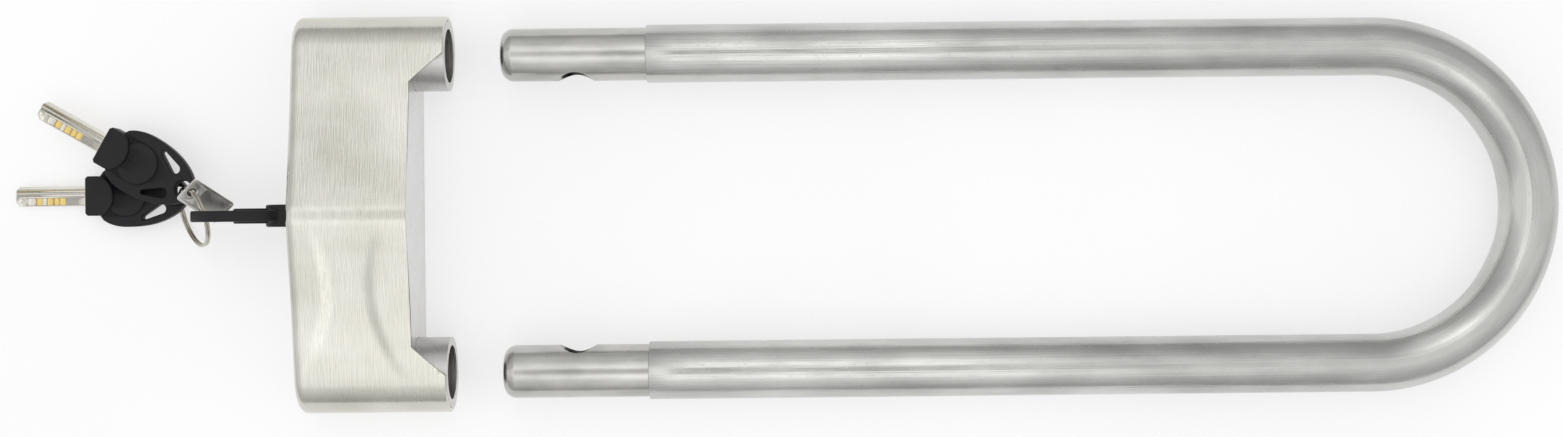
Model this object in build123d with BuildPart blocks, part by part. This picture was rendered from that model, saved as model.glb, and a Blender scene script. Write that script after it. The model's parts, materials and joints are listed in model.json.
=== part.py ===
from build123d import *
import os
from math import atan2, cos, radians, sin, sqrt

# U lock for a bicycle or a door, in millimetres.
# X runs along the shackle's legs towards its bend, Y across them and Z up. The origin is the
# centre of the lock body's underside. The shackle lies pulled out in front of the body, the key
# is in the cylinder, and the bolts are drawn back.

# ---- Driving dimensions ---------------------------------------------------------------------

# Lock body
body_depth = 57.0               # along the legs
leg_spacing = 120.0             # centre to centre of the two legs
ear_radius = 15.0               # round ends of the body
crest_radius = 20.5             # round top over the cylinder
sheet = 1.5                     # wall of the shell
roll_radius = 3.0               # rear edge, rolled inwards
lip_width = 3.0                 # what the rolled edge covers of the rear plate
waist_depth = 12.5              # trapezoid cut on the mouth side, top and bottom
waist_half_width = 49.5
waist_mouth_half_width = 60.5
rear_plate_thickness = 2.0
front_plate_thickness = 2.0
front_plate_short = 4.0         # the front plate stops this far short of the leg axes
weld_gap = 0.1                  # between pieces that are welded or pressed into each other
running_gap = 0.05              # radial, between pieces that turn or slide in each other

# Shackle
leg_diameter = 20.0
leg_wall = 2.0
sleeve_diameter = 22.0
bare_leg_length = 55.0          # from the tip to the sleeve's shoulder
shackle_length = 400.0          # tip to the outside of the bend
shackle_pull_out = 20.0         # from the mouth to the leg tips as it lies
bolt_hole_diameter = 14.0       # in the legs
bolt_hole_from_tip = 28.0
tip_radius = 4.5                # rounded leg ends
end_plug_head = 5.0
end_plug_spigot = 8.0
tip_clearance = 0.5             # leg tip to rear plate, when locked
socket_clearance = 0.2          # radial, leg to socket

# Cylinder
key_axis_height = 20.5
housing_diameter = 36.0
barrel_diameter = 24.0
barrel_length = 25.0
plug_diameter = 13.9
plug_nose = 7.0                 # what stands out of the barrel's inner end
barrel_pin_diameter = 3.0
barrel_pin_bite = 3.0
guard_pin_diameter = 2.5
guard_pin_length = 8.0
guard_pin_offset = 9.5
clip_diameter = 18.0
clip_thickness = 1.0
clip_groove_depth = 0.9
wafer_count = 7
wafer_pitch = 3.2
wafer_thickness = 0.9
wafer_width = 6.0
wafer_height = 10.4
wafer_clearance = 0.1

# Bolt work
bolt_diameter = 12.5
bolt_inner = 20.0               # inner end of a bolt from the middle, drawn back
bolt_throw = 8.0
bolt_stand_back = 11.5          # outer end of a bolt from the leg's axis, drawn back
bolt_clearance = 0.45           # radial, bolt to the socket's hole
cam_diameter = 17.0
cam_thickness = 3.0
cam_pin_diameter = 4.0
cam_pin_length = 3.7            # past the cam's face
cam_pin_slack = 0.25            # each side of a pin in its slot
cam_screw_diameter = 2.9
cam_screw_head = 5.6
cam_screw_length = 5.0
cam_screw_cone = 82.0           # degrees
arm_thickness = 2.7
arm_clearance = 0.5             # arm to cam face, and to keeper plate
arm_web = 1.5                   # metal left round the slot
arm_split = 0.4                 # each arm stays this far from the key axis
foot_width = 4.0                # where an arm joins its bolt
guide_start = 33.0              # inner side of a guide block, from the middle
guide_depth = 17.0
guide_height = 22.5
keeper_width = 26.0
keeper_thickness = 1.5
spacer_diameter = 5.6
keeper_screw_diameter = 2.8
keeper_screw_head = 5.2
keeper_screw_head_height = 1.6
keeper_screw_grip = 6.0         # length of screw in the housing

# Keys
blade_length = 28.5
blade_width = 7.6
blade_thickness = 2.3
blade_tip_chamfer = 1.6
blade_groove_width = 1.2
blade_groove_depth = 0.4
tang_length = 12.0              # blade inside the bow
keyway_clearance = 0.2
key_standoff = 0.3              # key shoulder to the cylinder's face
neck_length = 9.0
neck_width = 15.2
neck_thickness = 8.4
bow_length = 40.0               # shoulder to the bow's tip
bow_shoulder_half_width = 10.2   # at the neck's back edge
bow_half_width = 12.0
bow_window_half_width = 10.1     # level with the windows
bow_thickness = 4.2
bow_tip_half_width = 5.0
boss_centre = 15.5              # from the shoulder
boss_radius = 8.0
boss_thickness = 5.7
ring_hole_diameter = 6.6
ring_hole_from_tip = 4.3
ring_hole_chamfer = 0.9
window_centre = 26.5            # tapered windows beside the ring hole, from the shoulder
window_offset = 5.8
window_length = 9.0
window_width = 3.2
window_turn = 24.0              # degrees from the key's length

# Ring and tag
ring_diameter = 24.0
ring_width = 1.8                # two coils side by side
ring_wire = 1.1                 # radial
ring_centre_from_rear = Vector(-41.5, 0, 11.3)   # from the lock body's rear edge
ring_heading = -69.1            # degrees from +X, of the ring's level diameter
ring_lean = 34.0                # degrees from upright, at the top towards the lock
lower_key_height = 7.1          # of its ring hole, with its neck on the table
lower_key_dip = 4.5             # degrees, blade tip down
lower_key_slack = Vector(-0.5, -0.2, 0)  # ring to hole centre
upper_key_height = 13.6
upper_key_heading = 29.6        # degrees, blade tip towards +Y
upper_key_slack = Vector(-0.3, -0.5, 0)  # ring to hole centre
upper_key_dip = 4.0             # degrees, blade tip down
tag_height = 18.0               # of the tag's hole
tag_length = 19.4
tag_width = 11.0
tag_thickness = 0.8
tag_hole_diameter = 4.0
tag_hole_inset = 3.2
tag_heading = -40.5             # degrees from +X, hole towards far end
tag_dip = 40.0                  # degrees, far end down
tag_roll = 10.0                 # degrees about its own length

# ---- Places worked out from them ------------------------------------------------------------

sides = (("left", 1), ("right", -1))
leg_y = leg_spacing / 2
leg_z = ear_radius
rear_x = -body_depth / 2
mouth_x = body_depth / 2
waist_x = mouth_x - waist_depth
rear_plate_x = rear_x + sheet
inside_x = rear_plate_x + rear_plate_thickness
front_plate_x = waist_x - front_plate_thickness

leg_radius = leg_diameter / 2
leg_bore = leg_radius - leg_wall
sleeve_radius = sleeve_diameter / 2
tip_x = mouth_x + shackle_pull_out
shoulder_x = tip_x + bare_leg_length
bend_x = tip_x + shackle_length - leg_y - sleeve_radius
bolt_x = inside_x + tip_clearance + bolt_hole_from_tip
socket_bore = leg_radius + socket_clearance
socket_radius = ear_radius - sheet - weld_gap

housing_radius = housing_diameter / 2
barrel_radius = barrel_diameter / 2
plug_radius = plug_diameter / 2
barrel_front_x = rear_x + barrel_length
plug_front_x = barrel_front_x + plug_nose
clip_x = barrel_front_x + wafer_clearance
clip_groove_radius = plug_radius - clip_groove_depth
keyway_end_x = rear_x - key_standoff + blade_length + keyway_clearance

bolt_radius = bolt_diameter / 2
bolt_length = leg_y - bolt_stand_back - bolt_inner
cam_pin_reach = bolt_throw / 2
cam_pin_circle = cam_pin_reach * sqrt(2)
cam_pin_radius = cam_pin_diameter / 2
cam_face_x = plug_front_x + cam_thickness
arm_x = cam_face_x + arm_clearance
keeper_x = arm_x + arm_thickness + 2 * arm_clearance
slot_low = cam_pin_reach - cam_pin_radius - cam_pin_slack
slot_high = cam_pin_circle + cam_pin_radius + cam_pin_slack
slot_half_width = cam_pin_radius + cam_pin_slack
spacer_offset = (barrel_radius + housing_radius) / 2
spacer_places = [(0, key_axis_height + spacer_offset), (0, key_axis_height - spacer_offset)]

ring_centre = Vector(rear_x, 0, 0) + ring_centre_from_rear
ring_mid_radius = (ring_diameter - ring_wire) / 2
ring_along = Vector(1, 0, 0).rotate(Axis.Z, ring_heading)
ring_rise = Vector(0, 0, 1).rotate(Axis((0, 0, 0), ring_along), -ring_lean)
ring_plane = Plane(origin=ring_centre, x_dir=ring_along, z_dir=ring_along.cross(ring_rise))


def ring_point(height):
    """The point of the ring's centre line at this height, on its +Y side."""
    up = (height - ring_centre.Z) / ring_rise.Z
    return ring_centre + ring_rise * up - ring_along * sqrt(ring_mid_radius**2 - up**2)


def key_plane(hole, blade_way, up):
    """A key's own plane, from its ring hole: x runs from the shoulder along the blade."""
    shoulder = hole + blade_way * (bow_length - ring_hole_from_tip)
    return Plane(origin=shoulder, x_dir=blade_way, z_dir=up)


def body_outline(inset):
    """The body seen along X: two ears and the crest, joined by straight flanks and a flat base."""
    ear = ear_radius - inset
    crest = crest_radius - inset
    lean = 2 * atan2(crest_radius - ear_radius, leg_y)
    ear_top = (leg_y + ear * sin(lean), ear_radius + ear * cos(lean))
    crest_end = (crest * sin(lean), crest_radius + crest * cos(lean))
    with BuildSketch() as outline:
        with BuildLine():
            Line((-leg_y, inset), (leg_y, inset))
            for side in (1, -1):
                ear_end = (side * ear_top[0], ear_top[1])
                ThreePointArc((side * leg_y, inset), (side * (leg_y + ear), ear_radius), ear_end)
                Line(ear_end, (side * crest_end[0], crest_end[1]))
            ThreePointArc(crest_end, (0, crest_radius + crest), (-crest_end[0], crest_end[1]))
        make_face()
    return outline.sketch


os.makedirs("parts", exist_ok=True)

# ---- Lock body: shell and plates ------------------------------------------------------------

with BuildPart() as shell:
    with BuildSketch(Plane.YZ.offset(rear_x)):
        add(body_outline(0))
    extrude(amount=body_depth)
    fillet(shell.faces().sort_by(Axis.X)[0].edges(), roll_radius)
    with BuildSketch(Plane.YZ.offset(rear_plate_x)):
        add(body_outline(sheet))
    extrude(amount=body_depth, mode=Mode.SUBTRACT)
    with BuildSketch(Plane.YZ.offset(rear_x)):
        add(body_outline(sheet + lip_width))
    extrude(amount=sheet, mode=Mode.SUBTRACT)
    with BuildSketch(Plane.XY):
        with BuildLine():
            Polyline(
                (waist_x, -waist_half_width),
                (waist_x, waist_half_width),
                (mouth_x, waist_mouth_half_width),
                (mouth_x, -waist_mouth_half_width),
                close=True,
            )
        make_face()
    extrude(amount=2 * crest_radius, mode=Mode.SUBTRACT)
shell.part.label = "shell"
export_step(shell.part, "parts/shell.step")

with BuildPart() as rear_plate:
    with BuildSketch(Plane.YZ.offset(rear_plate_x)):
        add(body_outline(sheet + weld_gap))
        with Locations((0, key_axis_height)):
            Circle(barrel_radius + weld_gap, mode=Mode.SUBTRACT)
    extrude(amount=rear_plate_thickness)
rear_plate.part.label = "rear_plate"
export_step(rear_plate.part, "parts/rear_plate.step")

with BuildPart() as front_plate:
    with BuildSketch(Plane.YZ.offset(front_plate_x)):
        add(body_outline(sheet + weld_gap))
        with Locations((-leg_y, leg_z), (leg_y, leg_z)):
            Circle(socket_radius + weld_gap, mode=Mode.SUBTRACT)
        Rectangle(leg_spacing - 2 * front_plate_short, 4 * crest_radius, mode=Mode.INTERSECT)
    extrude(amount=front_plate_thickness)
front_plate.part.label = "front_plate"
export_step(front_plate.part, "parts/front_plate.step")

for side_name, side in sides:
    with BuildPart() as socket:
        with BuildSketch(Plane.YZ.offset(inside_x)):
            with Locations((side * leg_y, leg_z)):
                Circle(socket_radius)
                Circle(socket_bore, mode=Mode.SUBTRACT)
        extrude(amount=mouth_x - inside_x)
        with BuildSketch(Plane.XZ.offset(-side * leg_y)):
            with Locations((bolt_x, leg_z)):
                Circle(bolt_radius + bolt_clearance)
        extrude(amount=side * 2 * socket_radius, mode=Mode.SUBTRACT)
    socket.part.label = f"socket_{side_name}"
    export_step(socket.part, f"parts/socket_{side_name}.step")

# ---- Cylinder -------------------------------------------------------------------------------

pin_x = (inside_x + barrel_front_x) / 2
pin_bottom = key_axis_height + barrel_radius - barrel_pin_bite
pin_top = key_axis_height + housing_radius - running_gap
guard_places = [(-guard_pin_offset, key_axis_height), (guard_pin_offset, key_axis_height)]

with BuildPart() as housing:
    with BuildSketch(Plane.YZ.offset(inside_x)):
        with Locations((0, key_axis_height)):
            Circle(housing_radius)
            Circle(barrel_radius + running_gap, mode=Mode.SUBTRACT)
    extrude(amount=barrel_front_x - inside_x)
    with BuildSketch(Plane.XY.offset(pin_bottom)):
        with Locations((pin_x, 0)):
            Circle(barrel_pin_diameter / 2 + running_gap)
    extrude(amount=housing_radius, mode=Mode.SUBTRACT)
    with BuildSketch(Plane.YZ.offset(barrel_front_x)):
        with Locations(*spacer_places):
            Circle(keeper_screw_diameter / 2 + running_gap)
    extrude(amount=-keeper_screw_grip - wafer_clearance, mode=Mode.SUBTRACT)
housing.part.label = "cylinder_housing"
export_step(housing.part, "parts/cylinder_housing.step")

with BuildPart() as barrel:
    with BuildSketch(Plane.YZ.offset(rear_x)):
        with Locations((0, key_axis_height)):
            Circle(barrel_radius)
            Circle(plug_radius + running_gap, mode=Mode.SUBTRACT)
    extrude(amount=barrel_length)
    with BuildSketch(Plane.XY.offset(pin_bottom - running_gap)):
        with Locations((pin_x, 0)):
            Circle(barrel_pin_diameter / 2 + running_gap)
    extrude(amount=2 * barrel_pin_bite, mode=Mode.SUBTRACT)
    with BuildSketch(Plane.YZ.offset(rear_x)):
        with Locations(*guard_places):
            Circle(guard_pin_diameter / 2 + running_gap)
    extrude(amount=guard_pin_length, mode=Mode.SUBTRACT)
barrel.part.label = "cylinder_barrel"
export_step(barrel.part, "parts/cylinder_barrel.step")

with BuildPart() as barrel_pin:
    with BuildSketch(Plane.XY.offset(pin_bottom)):
        with Locations((pin_x, 0)):
            Circle(barrel_pin_diameter / 2)
    extrude(amount=pin_top - pin_bottom)
barrel_pin.part.label = "barrel_pin"
export_step(barrel_pin.part, "parts/barrel_pin.step")

with BuildPart() as guard_pins:
    with BuildSketch(Plane.YZ.offset(rear_x)):
        with Locations(*guard_places):
            Circle(guard_pin_diameter / 2)
    extrude(amount=guard_pin_length)
guard_pins.part.label = "guard_pins"
export_step(guard_pins.part, "parts/guard_pins.step")

wafer_start_x = rear_x + wafer_pitch
wafer_starts = [wafer_start_x + step * wafer_pitch for step in range(wafer_count)]
keyway_width = blade_thickness + 2 * keyway_clearance
keyway_height = blade_width + 2 * keyway_clearance
wafer_window_width = keyway_width + wafer_clearance
wafer_window_height = keyway_height + wafer_clearance

with BuildPart() as plug:
    with BuildSketch(Plane.YZ.offset(rear_x)):
        with Locations((0, key_axis_height)):
            Circle(plug_radius)
    extrude(amount=plug_front_x - rear_x)
    with BuildSketch(Plane.YZ.offset(rear_x)):
        with Locations((0, key_axis_height)):
            Rectangle(keyway_width, keyway_height)
    extrude(amount=keyway_end_x - rear_x, mode=Mode.SUBTRACT)
    for wafer_x in wafer_starts:
        with BuildSketch(Plane.YZ.offset(wafer_x - wafer_clearance)):
            with Locations((0, key_axis_height)):
                Rectangle(wafer_width + 2 * wafer_clearance, wafer_height + 2 * wafer_clearance)
        extrude(amount=wafer_thickness + 2 * wafer_clearance, mode=Mode.SUBTRACT)
    with BuildSketch(Plane.YZ.offset(clip_x - wafer_clearance)):
        with Locations((0, key_axis_height)):
            Circle(plug_radius)
            Circle(clip_groove_radius, mode=Mode.SUBTRACT)
    extrude(amount=clip_thickness + 2 * wafer_clearance, mode=Mode.SUBTRACT)
    with BuildSketch(Plane.YZ.offset(plug_front_x)):
        with Locations((0, key_axis_height)):
            Circle(cam_screw_diameter / 2 + running_gap)
    extrude(amount=keyway_end_x - plug_front_x, mode=Mode.SUBTRACT)
plug.part.label = "plug"
export_step(plug.part, "parts/plug.step")

with BuildPart() as wafers:
    for wafer_x in wafer_starts:
        with BuildSketch(Plane.YZ.offset(wafer_x)):
            with Locations((0, key_axis_height)):
                Rectangle(wafer_width, wafer_height)
                Rectangle(wafer_window_width, wafer_window_height, mode=Mode.SUBTRACT)
        extrude(amount=wafer_thickness)
wafers.part.label = "wafers"
export_step(wafers.part, "parts/wafers.step")

with BuildPart() as plug_clip:
    with BuildSketch(Plane.YZ.offset(clip_x)):
        with Locations((0, key_axis_height)):
            Circle(clip_diameter / 2)
            Circle(clip_groove_radius + running_gap, mode=Mode.SUBTRACT)
        with Locations((0, key_axis_height - clip_diameter / 2)):
            Rectangle(plug_radius, clip_diameter, mode=Mode.SUBTRACT)
    extrude(amount=clip_thickness)
plug_clip.part.label = "plug_clip"
export_step(plug_clip.part, "parts/plug_clip.step")

# ---- Cam and its drive pins -----------------------------------------------------------------

cam_pin_places = [
    (cam_pin_reach, key_axis_height + cam_pin_reach),
    (-cam_pin_reach, key_axis_height - cam_pin_reach),
]

with BuildPart() as cam:
    with BuildSketch(Plane.YZ.offset(plug_front_x)):
        with Locations((0, key_axis_height)):
            Circle(cam_diameter / 2)
        with Locations(*cam_pin_places):
            Circle(cam_pin_radius + running_gap, mode=Mode.SUBTRACT)
    extrude(amount=cam_thickness)
    with Locations(Plane.YZ.offset(cam_face_x)):
        with Locations((0, key_axis_height)):
            CounterSinkHole(
                cam_screw_diameter / 2 + running_gap,
                cam_screw_head / 2 + running_gap,
                counter_sink_angle=cam_screw_cone,
            )
cam.part.label = "cam_disc"
export_step(cam.part, "parts/cam_disc.step")

with BuildPart() as cam_pins:
    with BuildSketch(Plane.YZ.offset(plug_front_x + running_gap)):
        with Locations(*cam_pin_places):
            Circle(cam_pin_radius)
    extrude(amount=cam_thickness + cam_pin_length)
cam_pins.part.label = "cam_pins"
export_step(cam_pins.part, "parts/cam_pins.step")

with BuildPart() as cam_screw:
    with BuildSketch(Plane.YZ.offset(cam_face_x - running_gap)):
        with Locations((0, key_axis_height)):
            Circle(cam_screw_diameter / 2)
    extrude(amount=-cam_screw_length)
    with BuildSketch(Plane.YZ.offset(cam_face_x - running_gap)):
        with Locations((0, key_axis_height)):
            Circle(cam_screw_head / 2 - running_gap)
    extrude(amount=(cam_screw_diameter - cam_screw_head) / 2, taper=cam_screw_cone / 2)
cam_screw.part.label = "cam_screw"
export_step(cam_screw.part, "parts/cam_screw.step")

# ---- Bolts and what guides them -------------------------------------------------------------

for side_name, side in sides:
    rise = -side                            # the left arm lies below the key axis
    arm_inner = side * (-cam_pin_reach - slot_half_width - arm_web)
    arm_outer = side * (bolt_inner + foot_width)
    arm_low = key_axis_height + rise * arm_split
    arm_high = key_axis_height + rise * (slot_high + arm_web)
    foot_reach = max(arm_low, arm_high)
    foot_base = leg_z - foot_width
    with BuildPart() as bolt:
        with BuildSketch(Plane.XZ.offset(-side * bolt_inner)):
            with Locations((bolt_x, leg_z)):
                Circle(bolt_radius)
        extrude(amount=-side * bolt_length)
        outer_rim = bolt.edges().filter_by(GeomType.CIRCLE).sort_by(Axis.Y)[-1 if side > 0 else 0]
        chamfer(outer_rim, bolt_radius / 6)
        with BuildSketch(Plane.YZ.offset(arm_x)):
            with Locations(((arm_inner + arm_outer) / 2, (arm_low + arm_high) / 2)):
                Rectangle(abs(arm_outer - arm_inner), abs(arm_high - arm_low))
            with Locations((side * (bolt_inner + foot_width / 2), (foot_base + foot_reach) / 2)):
                Rectangle(foot_width, foot_reach - foot_base)
            slot_middle = key_axis_height + rise * (slot_low + slot_high) / 2
            with Locations((-side * cam_pin_reach, slot_middle)):
                Rectangle(2 * slot_half_width, slot_high - slot_low, mode=Mode.SUBTRACT)
        extrude(amount=arm_thickness)
    bolt.part.label = f"bolt_{side_name}"
    export_step(bolt.part, f"parts/bolt_{side_name}.step")

    guide_end = leg_y - socket_radius - weld_gap
    with BuildPart() as guide:
        with BuildSketch(Plane.XY.offset(sheet)):
            with Locations((bolt_x, side * (guide_start + guide_end) / 2)):
                Rectangle(guide_depth, guide_end - guide_start)
        extrude(amount=guide_height)
        with BuildSketch(Plane.XZ.offset(-side * leg_y)):
            with Locations((bolt_x, leg_z)):
                Circle(bolt_radius + running_gap)
        extrude(amount=side * leg_y, mode=Mode.SUBTRACT)
    guide.part.label = f"bolt_guide_{side_name}"
    export_step(guide.part, f"parts/bolt_guide_{side_name}.step")

with BuildPart() as keeper_plate:
    with BuildSketch(Plane.YZ.offset(keeper_x)):
        with Locations((0, key_axis_height)):
            Circle(housing_radius)
            Rectangle(keeper_width, housing_diameter, mode=Mode.INTERSECT)
        with Locations(*spacer_places):
            Circle(keeper_screw_diameter / 2 + running_gap, mode=Mode.SUBTRACT)
    extrude(amount=keeper_thickness)
keeper_plate.part.label = "keeper_plate"
export_step(keeper_plate.part, "parts/keeper_plate.step")

with BuildPart() as keeper_spacers:
    with BuildSketch(Plane.YZ.offset(barrel_front_x)):
        with Locations(*spacer_places):
            Circle(spacer_diameter / 2)
            Circle(keeper_screw_diameter / 2 + running_gap, mode=Mode.SUBTRACT)
    extrude(amount=keeper_x - barrel_front_x)
keeper_spacers.part.label = "keeper_spacers"
export_step(keeper_spacers.part, "parts/keeper_spacers.step")

with BuildPart() as keeper_screws:
    with BuildSketch(Plane.YZ.offset(keeper_x + keeper_thickness)):
        with Locations(*spacer_places):
            Circle(keeper_screw_head / 2)
    extrude(amount=keeper_screw_head_height)
    with BuildSketch(Plane.YZ.offset(barrel_front_x - keeper_screw_grip)):
        with Locations(*spacer_places):
            Circle(keeper_screw_diameter / 2)
    extrude(amount=keeper_x + keeper_thickness - barrel_front_x + keeper_screw_grip)
keeper_screws.part.label = "keeper_screws"
export_step(keeper_screws.part, "parts/keeper_screws.step")

# ---- Shackle --------------------------------------------------------------------------------


def shackle_tube(start_x, outer, inner):
    """A U of round tube in the legs' plane, with both ends at start_x."""
    with BuildPart() as tube:
        with BuildLine(Plane.XY.offset(leg_z)):
            Line((start_x, -leg_y), (bend_x, -leg_y))
            ThreePointArc((bend_x, -leg_y), (bend_x + leg_y, 0), (bend_x, leg_y))
            Line((bend_x, leg_y), (start_x, leg_y))
        with BuildSketch(Plane.YZ.offset(start_x)):
            with Locations((-leg_y, leg_z)):
                Circle(outer)
                Circle(inner, mode=Mode.SUBTRACT)
        sweep()
    return tube.part


with BuildPart() as shackle_core:
    add(shackle_tube(tip_x + end_plug_head, leg_radius, leg_bore))
    with BuildSketch(Plane.XZ):
        with Locations((tip_x + bolt_hole_from_tip, leg_z)):
            Circle(bolt_hole_diameter / 2)
    extrude(amount=leg_y, both=True, mode=Mode.SUBTRACT)
shackle_core.part.label = "shackle_core"
export_step(shackle_core.part, "parts/shackle_core.step")

with BuildPart() as shackle_sleeve:
    add(shackle_tube(shoulder_x, sleeve_radius, leg_radius + running_gap))
shackle_sleeve.part.label = "shackle_sleeve"
export_step(shackle_sleeve.part, "parts/shackle_sleeve.step")

with BuildPart() as leg_end_plugs:
    with BuildSketch(Plane.YZ.offset(tip_x)):
        with Locations((-leg_y, leg_z), (leg_y, leg_z)):
            Circle(leg_radius)
    extrude(amount=end_plug_head)
    tip_rims = leg_end_plugs.edges().filter_by(GeomType.CIRCLE).group_by(Axis.X)[0]
    fillet(tip_rims, tip_radius)
    with BuildSketch(Plane.YZ.offset(tip_x + end_plug_head)):
        with Locations((-leg_y, leg_z), (leg_y, leg_z)):
            Circle(leg_bore - running_gap)
    extrude(amount=end_plug_spigot)
leg_end_plugs.part.label = "leg_end_plugs"
export_step(leg_end_plugs.part, "parts/leg_end_plugs.step")

# ---- Keys -----------------------------------------------------------------------------------


def key_blade(place):
    """A flat blade with a groove on both faces, and its tang, in the key's own plane."""
    with BuildPart() as blade:
        with BuildSketch(place.offset(-blade_thickness / 2)):
            with Locations(((blade_length - tang_length) / 2, 0)):
                Rectangle(blade_length + tang_length, blade_width)
        extrude(amount=blade_thickness)
        tip_corners = blade.edges().filter_by(Axis((0, 0, 0), place.z_dir))
        tip_corners = tip_corners.sort_by(Axis(place.origin, place.x_dir))[-2:]
        chamfer(tip_corners, blade_tip_chamfer)
        for face in (1, -1):
            with BuildSketch(place.offset(face * blade_thickness / 2)):
                with Locations((blade_length / 2, 0)):
                    Rectangle(blade_length, blade_groove_width)
            extrude(amount=-face * blade_groove_depth, mode=Mode.SUBTRACT)
    return blade.part


def key_bow(place):
    """The moulded bow: neck, pick-shaped plate with a round boss, ring hole and two windows."""
    with BuildPart() as bow:
        with BuildSketch(place.offset(-bow_thickness / 2)):
            with BuildLine():
                wide_x = -boss_centre
                tip_start_x = -bow_length + bow_tip_half_width
                for side in (1, -1):
                    Line((-neck_length / 2, 0), (-neck_length / 2, side * neck_width / 2))
                    ThreePointArc(
                        (-neck_length / 2, side * neck_width / 2),
                        (-neck_length, side * bow_shoulder_half_width),
                        (wide_x, side * bow_half_width),
                    )
                    ThreePointArc(
                        (wide_x, side * bow_half_width),
                        (-window_centre, side * bow_window_half_width),
                        (tip_start_x, side * bow_tip_half_width),
                    )
                ThreePointArc(
                    (tip_start_x, bow_tip_half_width),
                    (-bow_length, 0),
                    (tip_start_x, -bow_tip_half_width),
                )
            make_face()
        extrude(amount=bow_thickness)
        with BuildSketch(place.offset(-boss_thickness / 2)):
            with Locations((-boss_centre, 0)):
                Circle(boss_radius)
        extrude(amount=boss_thickness)
        with BuildSketch(place.offset(-neck_thickness / 2)):
            with Locations((-neck_length / 2, 0)):
                Rectangle(neck_length, neck_width)
        extrude(amount=neck_thickness)
        with BuildSketch(place):
            with Locations((ring_hole_from_tip - bow_length, 0)):
                Circle(ring_hole_diameter / 2)
            for side in (1, -1):
                with Locations(Location((-window_centre, side * window_offset), side * window_turn)):
                    SlotOverall(window_length, window_width)
        extrude(amount=neck_thickness, both=True, mode=Mode.SUBTRACT)
        rims = bow.edges().filter_by(GeomType.CIRCLE)
        rims = rims.filter_by(lambda rim: abs(rim.radius - ring_hole_diameter / 2) < running_gap)
        chamfer(rims, ring_hole_chamfer)
        with BuildSketch(place.offset(-blade_thickness / 2)):
            with Locations((-tang_length / 2, 0)):
                Rectangle(tang_length, blade_width)
        extrude(amount=blade_thickness, mode=Mode.SUBTRACT)
    return bow.part


inserted_key = Plane(origin=(rear_x - key_standoff, 0, key_axis_height), x_dir=(1, 0, 0), z_dir=(0, -1, 0))

lower_way = Vector(-cos(radians(lower_key_dip)), 0, -sin(radians(lower_key_dip)))
lower_up = Vector(-sin(radians(lower_key_dip)), 0, cos(radians(lower_key_dip)))
lower_hole = ring_point(lower_key_height) + lower_key_slack
lower_key = key_plane(lower_hole, lower_way, lower_up)

upper_turn = radians(upper_key_heading)
upper_level = Vector(-cos(upper_turn), sin(upper_turn), 0)
upper_way = upper_level * cos(radians(upper_key_dip)) - Vector(0, 0, sin(radians(upper_key_dip)))
upper_up = upper_level * sin(radians(upper_key_dip)) + Vector(0, 0, cos(radians(upper_key_dip)))
upper_hole = ring_point(upper_key_height) + upper_key_slack
upper_key = key_plane(upper_hole, upper_way, upper_up)

for key_name, place in (("key", inserted_key), ("lower_key", lower_key), ("upper_key", upper_key)):
    with BuildPart() as blade:
        add(key_blade(place))
    blade.part.label = f"{key_name}_blade"
    export_step(blade.part, f"parts/{key_name}_blade.step")
    with BuildPart() as bow:
        add(key_bow(place))
    bow.part.label = f"{key_name}_bow"
    export_step(bow.part, f"parts/{key_name}_bow.step")

# ---- Ring and tag ---------------------------------------------------------------------------

with BuildPart() as key_ring:
    with BuildSketch(ring_plane.offset(-ring_width / 2)):
        Circle(ring_diameter / 2)
        Circle(ring_diameter / 2 - ring_wire, mode=Mode.SUBTRACT)
    extrude(amount=ring_width)
    chamfer(key_ring.edges().filter_by(GeomType.CIRCLE), ring_wire / 5)
key_ring.part.label = "key_ring"
export_step(key_ring.part, "parts/key_ring.step")

tag_level = Vector(1, 0, 0).rotate(Axis.Z, tag_heading)
tag_way = tag_level * cos(radians(tag_dip)) - Vector(0, 0, sin(radians(tag_dip)))
tag_up = tag_level * sin(radians(tag_dip)) + Vector(0, 0, cos(radians(tag_dip)))
tag_up = tag_up.rotate(Axis((0, 0, 0), tag_way), tag_roll)
tag_place = Plane(origin=ring_point(tag_height), x_dir=tag_way, z_dir=tag_up)

with BuildPart() as key_tag:
    with BuildSketch(tag_place.offset(-tag_thickness / 2)):
        with Locations((tag_length / 2 - tag_hole_inset, 0)):
            RectangleRounded(tag_length, tag_width, tag_thickness)
        Circle(tag_hole_diameter / 2, mode=Mode.SUBTRACT)
    extrude(amount=tag_thickness)
key_tag.part.label = "key_tag"
export_step(key_tag.part, "parts/key_tag.step")
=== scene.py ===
import json
import math

import bmesh
import bpy
from mathutils import Matrix, Vector


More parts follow.
